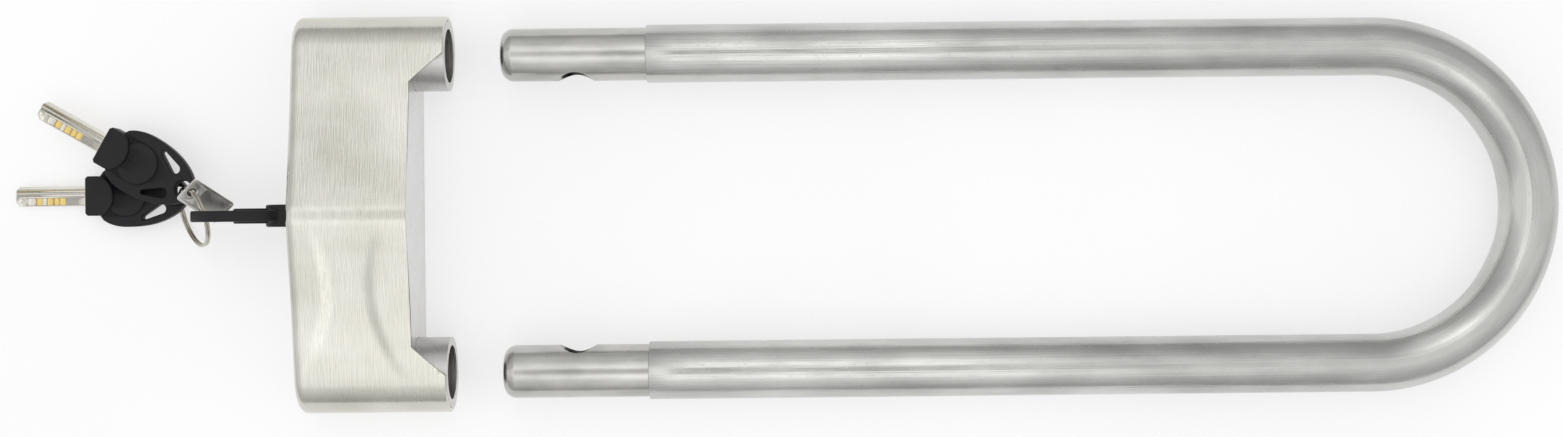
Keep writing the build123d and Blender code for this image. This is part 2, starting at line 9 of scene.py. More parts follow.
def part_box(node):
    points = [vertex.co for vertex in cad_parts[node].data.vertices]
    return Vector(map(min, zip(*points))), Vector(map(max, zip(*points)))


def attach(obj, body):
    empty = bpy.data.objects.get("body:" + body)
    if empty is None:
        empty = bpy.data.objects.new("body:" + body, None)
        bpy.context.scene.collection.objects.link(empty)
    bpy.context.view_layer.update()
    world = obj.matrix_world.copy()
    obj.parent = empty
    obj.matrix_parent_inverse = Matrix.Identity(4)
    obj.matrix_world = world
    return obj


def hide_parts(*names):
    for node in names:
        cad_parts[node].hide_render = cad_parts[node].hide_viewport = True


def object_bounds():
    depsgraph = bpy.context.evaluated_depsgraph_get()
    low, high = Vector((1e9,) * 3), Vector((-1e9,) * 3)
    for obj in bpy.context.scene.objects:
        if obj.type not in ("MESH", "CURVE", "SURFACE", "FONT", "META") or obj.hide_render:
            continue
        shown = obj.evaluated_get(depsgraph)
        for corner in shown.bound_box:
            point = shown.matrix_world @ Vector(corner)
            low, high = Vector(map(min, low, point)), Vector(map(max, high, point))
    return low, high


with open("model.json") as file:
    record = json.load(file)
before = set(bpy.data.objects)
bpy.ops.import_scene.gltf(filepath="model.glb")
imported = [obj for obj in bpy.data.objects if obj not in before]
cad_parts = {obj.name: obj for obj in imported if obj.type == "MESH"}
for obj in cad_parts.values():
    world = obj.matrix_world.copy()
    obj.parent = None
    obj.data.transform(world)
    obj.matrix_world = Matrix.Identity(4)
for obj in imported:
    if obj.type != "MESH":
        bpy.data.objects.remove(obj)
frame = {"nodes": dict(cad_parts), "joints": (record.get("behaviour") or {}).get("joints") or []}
cad_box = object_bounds()

# ---- Shell ----------------------------------------------------------------------------------
# The lock body's cover is one strip of 1.5 mm stainless sheet, bent round two ears and a crest,
# with its flanks drawn in a little, its rear edge rolled inwards and its mouth side cut back to
# a waist. It is brushed across the body and then polished.

MM = 0.001
SHEET = 1.5 * MM
EAR_RADIUS = 15.0 * MM
ROLL_RADIUS = 3.0 * MM
LIP_WIDTH = 3.0 * MM
SOFT_EDGE = 0.35 * MM
OUTER_DISH, OUTER_NEAR_DISH = 0.7 * MM, 0.65 * MM
INNER_DISH, INNER_NEAR_DISH = 0.9 * MM, 1.2 * MM
UNDER_STEPS = 48
EAR_STEPS = 24
FLANK_STEPS = 40
CREST_STEPS = 10
shell_low, shell_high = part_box("shell")
crest_radius = (shell_high.z - shell_low.z) / 2
ear_y = shell_high.y - EAR_RADIUS
flank_lean = 2 * math.atan2(crest_radius - EAR_RADIUS, ear_y)

# The near flank is pressed in a band along Y, which is pinched at its middle.
PRESS_X = -6.5 * MM
PRESS_DEPTH = 0.5 * MM
PRESS_EDGE = 4.5 * MM
PINCH_HALF_WIDTH = 8.0 * MM
PINCH_Y = 27 * MM
PINCH_REACH = 30 * MM
PRESS_WIDENING = 9.0 * MM


def ease(share):
    """A share held between 0 and 1, and eased towards both."""
    share = min(1.0, max(0.0, share))
    return share * share * (3 - 2 * share)


def pressed(x, y):
    """How deep the near flank is pressed here, from 0 to 1."""
    from_pinch = (abs(y) - PINCH_Y) / PINCH_REACH
    half_width = PINCH_HALF_WIDTH + PRESS_WIDENING * from_pinch**2
    return 1 - ease((abs(x - PRESS_X) - half_width) / PRESS_EDGE + 0.5)


def body_outline(inset, x=None):
    """Points round the body as seen along X, drawn inside by the inset, with its flanks dished.

    With an x they are the outer skin's points there, so that the near flank is pressed too."""
    outer = x is not None
    dish, near_dish = (OUTER_DISH, OUTER_NEAR_DISH) if outer else (INNER_DISH, INNER_NEAR_DISH)
    ear = EAR_RADIUS - inset
    crest = crest_radius - inset
    points = [(-ear_y + 2 * ear_y * step / UNDER_STEPS, inset) for step in range(UNDER_STEPS + 1)]
    for step in range(1, EAR_STEPS + 1):
        turn = math.pi / 2 - (math.pi - flank_lean) * step / EAR_STEPS
        points.append((ear_y + ear * math.cos(turn), EAR_RADIUS - ear * math.sin(turn)))
    ear_top_y = ear_y + ear * math.sin(flank_lean)
    ear_top_z = EAR_RADIUS + ear * math.cos(flank_lean)
    crest_end_y = crest * math.sin(flank_lean)
    crest_end_z = crest_radius + crest * math.cos(flank_lean)
    flank = []
    for step in range(1, FLANK_STEPS + 1):
        along = step / FLANK_STEPS
        drawn_in = math.sin(math.pi * along) ** 2
        y = ear_top_y + (crest_end_y - ear_top_y) * along
        z = ear_top_z + (crest_end_z - ear_top_z) * along
        flank.append((y, z, drawn_in))
    points += [(y, z - dish * drawn_in) for y, z, drawn_in in flank]
    for step in range(1, CREST_STEPS):
        turn = flank_lean * (1 - 2 * step / CREST_STEPS)
        points.append((crest * math.sin(turn), crest_radius + crest * math.cos(turn)))
    for y, z, drawn_in in reversed(flank):
        press = PRESS_DEPTH * pressed(x, y) * drawn_in**0.5 if outer else 0.0
        points.append((-y, z - near_dish * drawn_in - press))
    points.append((-ear_top_y, ear_top_z))
    for step in range(1, EAR_STEPS):
        turn = flank_lean + (math.pi - flank_lean) * step / EAR_STEPS
        points.append((-ear_y - ear * math.sin(turn), EAR_RADIUS + ear * math.cos(turn)))
    return points


def smooth_object(name, mesh_data, sharp_from=35):
    """An object from a bmesh, smooth all over but for edges that turn by more than sharp_from."""
    bmesh.ops.recalc_face_normals(mesh_data, faces=mesh_data.faces)
    for face in mesh_data.faces:
        face.smooth = True
    for edge in mesh_data.edges:
        edge.smooth = edge.calc_face_angle(0.0) < math.radians(sharp_from)
    mesh = bpy.data.meshes.new(name)
    mesh_data.to_mesh(mesh)
    mesh_data.free()
    piece = bpy.data.objects.new(name, mesh)
    bpy.context.scene.collection.objects.link(piece)
    return piece


def skin_rings(rings, closed=True):
    """A bmesh skinned over rings of points; closed joins the last ring to the first."""
    skin = bmesh.new()
    made = [[skin.verts.new(point) for point in ring] for ring in rings]
    for near, far in zip(made, made[1:] + made[:1] if closed else made[1:]):
        for here in range(len(near)):
            there = (here + 1) % len(near)
            skin.faces.new((near[here], near[there], far[there], far[here]))
    return skin


def cap_ends(skin, ring_size):
    """Close the first and the last ring of an open skin."""
    corners = list(skin.verts)
    for ring in (corners[:ring_size], corners[-ring_size:]):
        skin.faces.new(ring)
    return skin


def apply_modifiers(piece):
    """Replace a piece's mesh by what its modifiers make of it."""
    shaped = bpy.data.meshes.new_from_object(
        piece.evaluated_get(bpy.context.evaluated_depsgraph_get())
    )
    piece.modifiers.clear()
    piece.data = shaped


def cut_away(piece, cutter, operation="DIFFERENCE"):
    """Cut one piece out of another, or join them, and drop the cutter."""
    change = piece.modifiers.new("cut", "BOOLEAN")
    change.operation = operation
    change.solver = "EXACT"
    change.object = cutter
    bpy.context.view_layer.update()
    apply_modifiers(piece)
    bpy.data.objects.remove(cutter)


def round_edges(piece, width, segments=3, from_angle=35):
    """Break the sharp edges of a piece, as a deburring wheel or a mould does."""
    bevel = piece.modifiers.new("edges", "BEVEL")
    bevel.width = width
    bevel.segments = segments
    bevel.limit_method = "ANGLE"
    bevel.angle_limit = math.radians(from_angle)
    bevel.harden_normals = False


ROLL_STEPS = 8
LENGTH_STEPS = 48
rear_x, mouth_x = shell_low.x, shell_high.x
inside_x = rear_x + SHEET
roll_end_x = rear_x + ROLL_RADIUS
lip_inset = ROLL_RADIUS + LIP_WIDTH / 2
roll_hollow = SHEET * 1.3
sections = [(rear_x, lip_inset), (rear_x, ROLL_RADIUS)]
for step in range(1, ROLL_STEPS + 1):
    turn = math.pi / 2 * step / ROLL_STEPS
    forward, inset = ROLL_RADIUS * (1 - math.cos(turn)), ROLL_RADIUS * (1 - math.sin(turn))
    sections.append((rear_x + forward, inset))
for step in range(1, LENGTH_STEPS + 1):
    sections.append((roll_end_x + (mouth_x - SOFT_EDGE - roll_end_x) * step / LENGTH_STEPS, 0.0))
sections += [
    (mouth_x, SOFT_EDGE),
    (mouth_x, SHEET - SOFT_EDGE),
    (mouth_x - SOFT_EDGE, SHEET),
    (roll_end_x, SHEET),
    (rear_x + roll_hollow, roll_hollow),
    (inside_x, ROLL_RADIUS),
    (inside_x, lip_inset),
]
shell_rings = []
for x, inset in sections:
    outer = inset < SOFT_EDGE or x < inside_x
    shell_rings.append([(x, y, z) for y, z in body_outline(inset, x if outer else None)])
shell_skin = smooth_object("shell_sheet", skin_rings(shell_rings))

WAIST_X = 16.0 * MM
WAIST_HALF = 49.5 * MM
WAIST_MOUTH_HALF = 60.5 * MM
WAIST_EDGE = 0.45 * MM
MARGIN = 10 * MM
slope = (WAIST_MOUTH_HALF - WAIST_HALF) / (mouth_x - WAIST_X)
past_x, past_half = mouth_x + MARGIN, WAIST_MOUTH_HALF + slope * MARGIN
waist = [(WAIST_X, -WAIST_HALF), (WAIST_X, WAIST_HALF), (past_x, past_half), (past_x, -past_half)]
waist_rings = [[(x, y, z) for x, y in waist] for z in (shell_low.z - MARGIN, shell_high.z + MARGIN)]
waist_prism = cap_ends(skin_rings(waist_rings, closed=False), len(waist))
cut_away(shell_skin, smooth_object("waist_cutter", waist_prism))
round_edges(shell_skin, WAIST_EDGE)
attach(shell_skin, "lock_body")
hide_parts("shell")


MICRON = 0.001 * MM


def new_material(name):
    """An empty node material: its nodes, its links and its shader."""
    material = bpy.data.materials.new(name)
    material.use_nodes = True
    tree = material.node_tree
    return material, tree, tree.nodes["Principled BSDF"]


def grain(tree, stretch, detail, coordinates="Object", seed=0.0):
    """Noise stretched along the axes: stretch is how many grains there are to a metre on each."""
    place = tree.nodes.new("ShaderNodeTexCoord")
    mapping = tree.nodes.new("ShaderNodeMapping")
    mapping.inputs["Scale"].default_value = stretch
    mapping.inputs["Location"].default_value = (seed, seed * 0.7, seed * 1.3)
    noise = tree.nodes.new("ShaderNodeTexNoise")
    noise.inputs["Scale"].default_value = 1.0
    noise.inputs["Detail"].default_value = detail
    tree.links.new(place.outputs[coordinates], mapping.inputs["Vector"])
    tree.links.new(mapping.outputs["Vector"], noise.inputs["Vector"])
    return noise.outputs["Fac"]


def spread(tree, value, low, high, start=0.3, end=0.7):
    """Carry a noise value from start..end over to low..high."""
    ranged = tree.nodes.new("ShaderNodeMapRange")
    ranged.inputs["From Min"].default_value = start
    ranged.inputs["From Max"].default_value = end
    ranged.inputs["To Min"].default_value = low
    ranged.inputs["To Max"].default_value = high
    tree.links.new(value, ranged.inputs["Value"])
    return ranged.outputs["Result"]


def blend_colours(tree, amount, dark, light):
    """A colour between two, by a value from 0 to 1."""
    mix = tree.nodes.new("ShaderNodeMix")
    mix.data_type = "RGBA"
    mix.inputs["A"].default_value = (*dark, 1.0)
    mix.inputs["B"].default_value = (*light, 1.0)
    tree.links.new(amount, mix.inputs["Factor"])
    return mix.outputs["Result"]


def add_values(tree, first, second):
    """The sum of two values."""
    total = tree.nodes.new("ShaderNodeMath")
    total.operation = "ADD"
    tree.links.new(first, total.inputs[0])
    tree.links.new(second, total.inputs[1])
    return total.outputs["Value"]


def raise_surface(tree, shader, height, depth, strength=1.0):
    """Bump a surface by a height value, by at most the depth."""
    bump = tree.nodes.new("ShaderNodeBump")
    bump.inputs["Strength"].default_value = strength
    bump.inputs["Distance"].default_value = depth
    tree.links.new(height, bump.inputs["Height"])
    tree.links.new(bump.outputs["Normal"], shader.inputs["Normal"])


def worked_steel(name, lines, dark, light, rough, swing, depth, cloud=(40, 40, 40)):
    """Metal with fine tool lines, soft clouds in its tone and a roughness that follows both."""
    material, tree, shader = new_material(name)
    fine = grain(tree, lines, 4.0)
    clouds = grain(tree, cloud, 3.0, seed=4.0)
    shader.inputs["Metallic"].default_value = 1.0
    tone = blend_colours(tree, spread(tree, clouds, 0.0, 1.0), dark, light)
    tree.links.new(tone, shader.inputs["Base Color"])
    rough_lines = spread(tree, fine, rough - swing, rough + swing)
    rough_clouds = spread(tree, clouds, -swing / 2, swing / 2)
    tree.links.new(add_values(tree, rough_lines, rough_clouds), shader.inputs["Roughness"])
    raise_surface(tree, shader, fine, depth)
    return material


def finish_with(piece, material):
    """Give the whole piece one material."""
    piece.data.materials.clear()
    piece.data.materials.append(material)


shell_steel = worked_steel(
    "shell_brushed_steel", lines=(2600, 24, 700),
    dark=(0.575, 0.565, 0.50), light=(0.70, 0.69, 0.635), rough=0.18, swing=0.08, depth=60 * MICRON,
)
finish_with(shell_skin, shell_steel)

# ---- Front and rear plates ------------------------------------------------------------------
# Two blanks of 2 mm plate close the body, the front one between the sockets and the rear one
# inside the rolled edge. They are cut from rolled sheet, deburred and welded in.

PLATE_EDGE = 0.2 * MM
plate_steel = worked_steel(
    "plate_rolled_steel", lines=(60, 60, 900), dark=(0.66, 0.655, 0.65), light=(0.76, 0.755, 0.75),
    rough=0.30, swing=0.07, depth=15 * MICRON,
)
for plate_name in ("front_plate", "rear_plate"):
    finish_with(frame["nodes"][plate_name], plate_steel)
    round_edges(frame["nodes"][plate_name], PLATE_EDGE)

# ---- Sockets --------------------------------------------------------------------------------
# A turned steel tube in each ear takes one leg of the shackle, and has a hole in its inner wall
# for the bolt. The lathe leaves fine rings round it.

SOCKET_EDGE = 0.4 * MM
socket_steel = worked_steel(
    "socket_turned_steel", lines=(3000, 40, 40), dark=(0.5, 0.495, 0.48), light=(0.62, 0.615, 0.6),
    rough=0.3, swing=0.06, depth=20 * MICRON,
)
for socket_name in ("socket_left", "socket_right"):
    finish_with(frame["nodes"][socket_name], socket_steel)
    round_edges(frame["nodes"][socket_name], SOCKET_EDGE)

# ---- Cylinder -------------------------------------------------------------------------------
# A nickel-plated barrel, pinned into a steel housing, holds the brass plug that the key turns,
# with its wafers, its clip and two hardened guard pins. They are turned and milled.

TURNED_EDGE = 0.12 * MM
brass = worked_steel(
    "turned_brass", lines=(1800, 60, 60), dark=(0.62, 0.46, 0.22), light=(0.78, 0.62, 0.34),
    rough=0.26, swing=0.06, depth=10 * MICRON,
)
plug_nickel = worked_steel(
    "plug_nickel", lines=(1800, 60, 60), dark=(0.60, 0.57, 0.50), light=(0.72, 0.69, 0.62),
    rough=0.22, swing=0.05, depth=10 * MICRON,
)
dark_steel = worked_steel(
    "hardened_steel", lines=(900, 900, 900), dark=(0.20, 0.20, 0.21), light=(0.34, 0.34, 0.35),
    rough=0.38, swing=0.08, depth=10 * MICRON,
)
for node_name, metal in (
    ("cylinder_housing", socket_steel),
    ("cylinder_barrel", plug_nickel),
    ("barrel_pin", dark_steel),
    ("guard_pins", dark_steel),
    ("plug", brass),
    ("wafers", brass),
    ("plug_clip", dark_steel),
):
    finish_with(frame["nodes"][node_name], metal)
    round_edges(frame["nodes"][node_name], TURNED_EDGE, 2)

# ---- Cam and bolt work ----------------------------------------------------------------------
# The plug carries a steel disc with two drive pins. Each pin works in the slot of one bolt's
# arm, and a plate on two spacers keeps the arms on the pins. The bolts are ground bar, and each
# slides in a guide block.

BOLT_EDGE = 0.15 * MM
bolt_steel = worked_steel(
    "bolt_ground_steel", lines=(60, 1800, 60), dark=(0.42, 0.42, 0.42), light=(0.55, 0.55, 0.55),
    rough=0.25, swing=0.06, depth=10 * MICRON,
)
for node_name, metal in (
    ("cam_disc", socket_steel),
    ("cam_pins", dark_steel),
    ("cam_screw", dark_steel),
    ("keeper_spacers", socket_steel),
    ("keeper_screws", dark_steel),
    ("bolt_left", bolt_steel),
    ("bolt_right", bolt_steel),
):
    finish_with(frame["nodes"][node_name], metal)
    round_edges(frame["nodes"][node_name], BOLT_EDGE, 2)
for node_name in ("keeper_plate", "bolt_guide_left", "bolt_guide_right"):
    finish_with(frame["nodes"][node_name], plate_steel)
    round_edges(frame["nodes"][node_name], PLATE_EDGE)

# ---- Shackle core and leg ends --------------------------------------------------------------
# The inner U is a hollow steel tube with a hole drilled in the inner side of each leg, closed
# by a domed plug at each end. It is drawn along its length, and satin with use.

CORE_EDGE = 0.3 * MM
leg_steel = worked_steel(
    "leg_satin_steel", lines=(30, 900, 900), dark=(0.43, 0.43, 0.41), light=(0.58, 0.575, 0.55),
    rough=0.21, swing=0.06, depth=30 * MICRON, cloud=(60, 120, 120),
)
for node_name in ("shackle_core", "leg_end_plugs"):
    finish_with(frame["nodes"][node_name], leg_steel)
round_edges(frame["nodes"]["shackle_core"], CORE_EDGE)

# ---- Shackle sleeve -------------------------------------------------------------------------
# The outer U is a stainless tube bent over the core. The bend draws it a little flat and leaves
# faint ripples on its inner side, and the die leaves lines along it.

sleeve_low, sleeve_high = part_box("shackle_sleeve")
core_low, core_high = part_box("shackle_core")
SLEEVE_RADIUS = (sleeve_high.z - sleeve_low.z) / 2
CORE_RADIUS = (core_high.z - core_low.z) / 2
leg_z = (sleeve_high.z + sleeve_low.z) / 2
leg_y = sleeve_high.y - SLEEVE_RADIUS
bend_x = sleeve_high.x - SLEEVE_RADIUS - leg_y
straight = bend_x - sleeve_low.x
bend_length = math.pi * leg_y
path_length = 2 * straight + bend_length
ROUND_STEPS = 72
STRAIGHT_STEPS = 24
BEND_STEPS = 150
FLATTENING = 0.015
RIPPLE_DEPTH = 0.12 * MM
RIPPLE_PACE = 5.5 * MM
SLEEVE_PLAY = 0.05 * MM


def along_shackle(distance):
    """The point, the outward side and how far round the bend, at a distance along the U."""
    if distance < straight:
        return Vector((sleeve_low.x + distance, -leg_y, leg_z)), Vector((0, -1, 0)), 0.0
    if distance > straight + bend_length:
        back = path_length - distance
        return Vector((sleeve_low.x + back, leg_y, leg_z)), Vector((0, 1, 0)), 0.0
    turn = (distance - straight) / leg_y
    outward = Vector((math.sin(turn), -math.cos(turn), 0))
    return Vector((bend_x, 0, leg_z)) + outward * leg_y, outward, math.sin(turn)


def sleeve_ring(distance, radius):
    """One ring of points round the tube, flatter and rippled where it is bent."""
    middle, outward, bent = along_shackle(distance)
    ring = []
    for step in range(ROUND_STEPS):
        turn = 2 * math.pi * step / ROUND_STEPS
        inner_side = max(0.0, -math.cos(turn)) ** 2
        ripple = RIPPLE_DEPTH * inner_side * bent * math.sin(distance / RIPPLE_PACE)
        across = radius * (1 - FLATTENING * bent) - ripple
        up = Vector((0, 0, radius * math.sin(turn)))
        ring.append(middle + outward * across * math.cos(turn) + up)
    return ring


stations = [0.0, SOFT_EDGE * 0.4, SOFT_EDGE]
for step in range(1, STRAIGHT_STEPS + 1):
    stations.append(SOFT_EDGE + (straight - SOFT_EDGE) * step / STRAIGHT_STEPS)
leg_stations = list(stations)
for step in range(1, BEND_STEPS):
    stations.append(straight + bend_length * step / BEND_STEPS)
stations += [path_length - distance for distance in reversed(leg_stations)]
outer_rings = []
for distance in stations:
    from_end = min(distance, path_length - distance)
    drop = SOFT_EDGE - min(from_end, SOFT_EDGE)
    rounding = SOFT_EDGE - math.sqrt(max(0.0, SOFT_EDGE**2 - drop**2))
    outer_rings.append(sleeve_ring(distance, SLEEVE_RADIUS - rounding))
inner_rings = [sleeve_ring(distance, CORE_RADIUS + SLEEVE_PLAY) for distance in reversed(stations)]
sleeve_bmesh = skin_rings(outer_rings + inner_rings)

# The map's first number runs along the tube and its second round it, both in metres.
along_tube = sleeve_bmesh.loops.layers.uv.new("along_tube")
sleeve_bmesh.verts.index_update()
for face in sleeve_bmesh.faces:
    columns = [loop.vert.index % ROUND_STEPS for loop in face.loops]
    wraps = max(columns) - min(columns) > 1
    for loop in face.loops:
        row, column = divmod(loop.vert.index, ROUND_STEPS)
        if row >= len(stations):
            row = 2 * len(stations) - 1 - row
        if wraps and column == 0:
            column = ROUND_STEPS
        around = 2 * math.pi * SLEEVE_RADIUS * column / ROUND_STEPS
        loop[along_tube].uv = (stations[row], around)
sleeve_skin = smooth_object("shackle_sleeve_tube", sleeve_bmesh)
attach(sleeve_skin, "shackle")
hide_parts("shackle_sleeve")


def drawn_tube_steel():
    """Satin stainless tube: die lines along it, dull patches, small pits and a few rubs."""
    material, tree, shader = new_material("sleeve_drawn_steel")
    lines = grain(tree, (14, 1500, 1), 4.0, "UV")
    patches = grain(tree, (28, 60, 1), 4.0, "UV", seed=2.0)
    pits = grain(tree, (900, 900, 1), 2.0, "UV", seed=7.0)
    rubs = grain(tree, (60, 320, 1), 5.0, "UV", seed=11.0)
    shader.inputs["Metallic"].default_value = 1.0
    patched = spread(tree, patches, 0.0, 1.0)
    tone = blend_colours(tree, patched, (0.475, 0.48, 0.46), (0.64, 0.645, 0.62))
    tree.links.new(tone, shader.inputs["Base Color"])
    rough_lines = spread(tree, lines, 0.18, 0.26)
    rough_rubs = spread(tree, rubs, -0.03, 0.12, 0.45, 0.75)
    tree.links.new(add_values(tree, rough_lines, rough_rubs), shader.inputs["Roughness"])
    lined = spread(tree, lines, 0.0, 0.5)
    pitted = spread(tree, pits, 0.5, 0.0, 0.22, 0.34)
    raise_surface(tree, shader, add_values(tree, lined, pitted), 60 * MICRON)
    return material


finish_with(sleeve_skin, drawn_tube_steel())

# ---- Keys -----------------------------------------------------------------------------------
# Each key is a nickel-plated brass blade, grooved along both faces and milled through to the
# brass at its cuts, with a black plastic bow moulded over its tang. The bow has a raised round
# boss, two tapered windows and a ring hole.

KEY_LENGTH = 40.0 * MM
BLADE_LENGTH = 28.5 * MM
BLADE_WIDTH = 7.6 * MM
BLADE_THICKNESS = 2.3 * MM
BLADE_CORNER = 1.6 * MM
BLADE_EDGE = 0.15 * MM
TANG_LENGTH = 11.5 * MM
NECK_LENGTH = 11.2 * MM
NECK_WIDTH = 15.2 * MM
NECK_SIDE = 4.9 * MM
NECK_CORNER = 0.9 * MM
NECK_THICKNESS = 8.4 * MM
NECK_EDGE = 0.8 * MM
BOW_THICKNESS = 4.2 * MM
BOW_EDGE = 0.7 * MM
BOW_HALF_WIDTH = 12.0 * MM
BOSS_CENTRE = 15.5 * MM
BOSS_RADIUS = 8.0 * MM
BOSS_THICKNESS = 5.7 * MM
BOSS_EDGE = 0.6 * MM
RING_HOLE_FROM_TIP = 4.3 * MM
RING_HOLE_RADIUS = 3.3 * MM
CUT_OFFSET = 2.0 * MM
CUT_HALF_WIDTH = 1.35 * MM

# In millimetres: each cut's middle, length and depth, and each groove's offset, width and depth.
# A cut that is deeper than BRASS_BELOW shows the brass.
KEY_CUTS = (
    (22.4, 2.8, 0.3), (19.3, 2.6, 0.8), (17.1, 1.5, 0.3),
    (15.1, 2.4, 0.6), (12.6, 2.2, 0.9), (10.1, 2.5, 0.7),
)
KEY_GROOVES = ((-0.35, 0.7, 0.45), (-1.9, 0.5, 0.3))
BRASS_BELOW = 0.4

# Where the bow is widest, and how full it is at the neck, along its flanks and towards its tip.
BOW_WIDEST = 0.3
BOW_AT_NECK = 0.62
NECK_FULLNESS = 2.0
TIP_FULLNESS = 2.3
FLANK_FULLNESS = 0.62

# Points closer than WELD are one point. The slabs that cut the blade are this thick.
WELD = 2 * MICRON
CUT_CUTTER = 1.6 * MM
GROOVE_CUTTER = 1.0 * MM


def key_place(hole, blade_way, up):
    """Where a key's own frame lies: x runs from its shoulder along the blade, z through it."""
    blade_way = blade_way.normalized()
    up = up.normalized()
    across = up.cross(blade_way)
    shoulder = hole + blade_way * (KEY_LENGTH - RING_HOLE_FROM_TIP)
    turned = Matrix((blade_way, across, up)).transposed().to_4x4()
    return Matrix.Translation(shoulder) @ turned


def slab(name, outlines, thickness, edge, place, lift=0.0):
    """A flat piece from closed outlines, holes among them, with its edges rounded."""
    drawing = bpy.data.curves.new(name, "CURVE")
    drawing.dimensions = "2D"
    drawing.fill_mode = "BOTH"
    drawing.extrude = thickness / 2 - edge
    drawing.bevel_depth = edge
    drawing.bevel_resolution = 3
    drawing.offset = -edge
    for outline in outlines:
        line = drawing.splines.new("POLY")
        line.points.add(len(outline) - 1)
        for point, (x, y) in zip(line.points, outline):
            point.co = (x, y, 0, 1)
        line.use_cyclic_u = True
    shape = bpy.data.objects.new(name, drawing)
    bpy.context.scene.collection.objects.link(shape)
    bpy.context.view_layer.update()
    solid = bmesh.new()
    solid.from_mesh(shape.to_mesh())
    bpy.data.objects.remove(shape)
    bmesh.ops.remove_doubles(solid, verts=solid.verts, dist=WELD)
    bmesh.ops.translate(solid, verts=solid.verts, vec=(0, 0, lift))
    bmesh.ops.transform(solid, matrix=place, verts=solid.verts)
    return smooth_object(name, solid)


def arc(centre, radius, start, end, count=16):
    """Points along an arc, between two directions in degrees."""
    turns = [math.radians(start + (end - start) * step / count) for step in range(count + 1)]
    return [(centre[0] + radius * math.cos(t), centre[1] + radius * math.sin(t)) for t in turns]


def circle(centre, radius, count=24):
    """Points round a circle."""
    return arc(centre, radius, 0, 360 - 360 / count, count - 1)


def bow_outline():
    """The bow's pick shape, from the neck round its wide part to the round tip and back."""
    half = []
    for step in range(25):
        along = step / 24
        x = -NECK_SIDE - (KEY_LENGTH - NECK_SIDE) * along
        if along > BOW_WIDEST:
            from_widest = (along - BOW_WIDEST) / (1 - BOW_WIDEST)
            fall, least = 1 - from_widest**TIP_FULLNESS, 0.0
        else:
            from_widest = (BOW_WIDEST - along) / BOW_WIDEST
            fall, least = 1 - from_widest**NECK_FULLNESS, BOW_AT_NECK
        share = least + (1 - least) * max(0.0, fall) ** FLANK_FULLNESS
        half.append((x, BOW_HALF_WIDTH * share))
    return half + [(x, -y) for x, y in reversed(half[:-1])]


def window_outline(side):
    """A tapered window beside the ring hole, wide at its end near the tip."""
    wide = (-29.2 * MM, side * 5.2 * MM)
    narrow = (-22.4 * MM, side * 8.5 * MM)
    heading = math.degrees(math.atan2(narrow[1] - wide[1], narrow[0] - wide[0]))
    round_end = arc(wide, 1.8 * MM, heading + 90, heading + 270, 10)
    thin_end = arc(narrow, 0.8 * MM, heading - 90, heading + 90, 6)
    return round_end + thin_end


def neck_outline():
    """The thick neck: square at the blade, and swelling to a round end over the bow."""
    half = NECK_WIDTH / 2
    swell = NECK_LENGTH - NECK_SIDE
    outline = [
        (0, -half + NECK_CORNER), (0, half - NECK_CORNER), (-NECK_CORNER, half), (-NECK_SIDE, half)
    ]
    for step in range(1, 20):
        turn = math.pi * step / 20
        outline.append((-NECK_SIDE - swell * math.sin(turn), half * math.cos(turn)))
    return outline + [(-NECK_SIDE, -half), (-NECK_CORNER, -half)]


def rectangle(x_low, x_high, half_width, corner=0.0):
    """A rectangle with its corners cut by a small chamfer."""
    return [
        (x_low + corner, -half_width),
        (x_high - corner, -half_width),
        (x_high, -half_width + corner),
        (x_high, half_width - corner),
        (x_high - corner, half_width),
        (x_low + corner, half_width),
        (x_low, half_width - corner),
        (x_low, -half_width + corner),
    ]


def bow_plastic():
    """Black moulded plastic with a fine spark-eroded texture, duller in patches from handling."""
    material, tree, shader = new_material("bow_black_plastic")
    texture = grain(tree, (2200, 2200, 2200), 2.0)
    handled = grain(tree, (120, 120, 120), 3.0, seed=3.0)
    worn = spread(tree, handled, 0.0, 1.0)
    tone = blend_colours(tree, worn, (0.007, 0.007, 0.0085), (0.014, 0.014, 0.016))
    tree.links.new(tone, shader.inputs["Base Color"])
    tree.links.new(spread(tree, handled, 0.42, 0.58), shader.inputs["Roughness"])
    shader.inputs["Specular IOR Level"].default_value = 0.3
    raise_surface(tree, shader, texture, 60 * MICRON, 0.6)
    return material


key_plastic = bow_plastic()
key_nickel = worked_steel(
    "key_nickel_plate", lines=(20, 900, 900), dark=(0.68, 0.655, 0.58), light=(0.80, 0.775, 0.70),
    rough=0.20, swing=0.05, depth=4 * MICRON,
)
key_brass = worked_steel(
    "key_milled_brass", lines=(1600, 60, 60), dark=(0.72, 0.53, 0.16), light=(0.86, 0.68, 0.28),
    rough=0.26, swing=0.06, depth=10 * MICRON,
)


def mould_bow(name, place):
    """The black bow: its flat pick shape, joined by its boss and its thick neck."""
    ring_hole = circle((RING_HOLE_FROM_TIP - KEY_LENGTH, 0), RING_HOLE_RADIUS)
    outlines = [bow_outline(), ring_hole, window_outline(1), window_outline(-1)]
    bow = slab(f"{name}_bow_moulding", outlines, BOW_THICKNESS, BOW_EDGE, place)
    boss_round = circle((-BOSS_CENTRE, 0), BOSS_RADIUS, 60)
    cut_away(bow, slab(f"{name}_boss", [boss_round], BOSS_THICKNESS, BOSS_EDGE, place), "UNION")
    cut_away(bow, slab(f"{name}_neck", [neck_outline()], NECK_THICKNESS, NECK_EDGE, place), "UNION")
    finish_with(bow, key_plastic)
    return bow


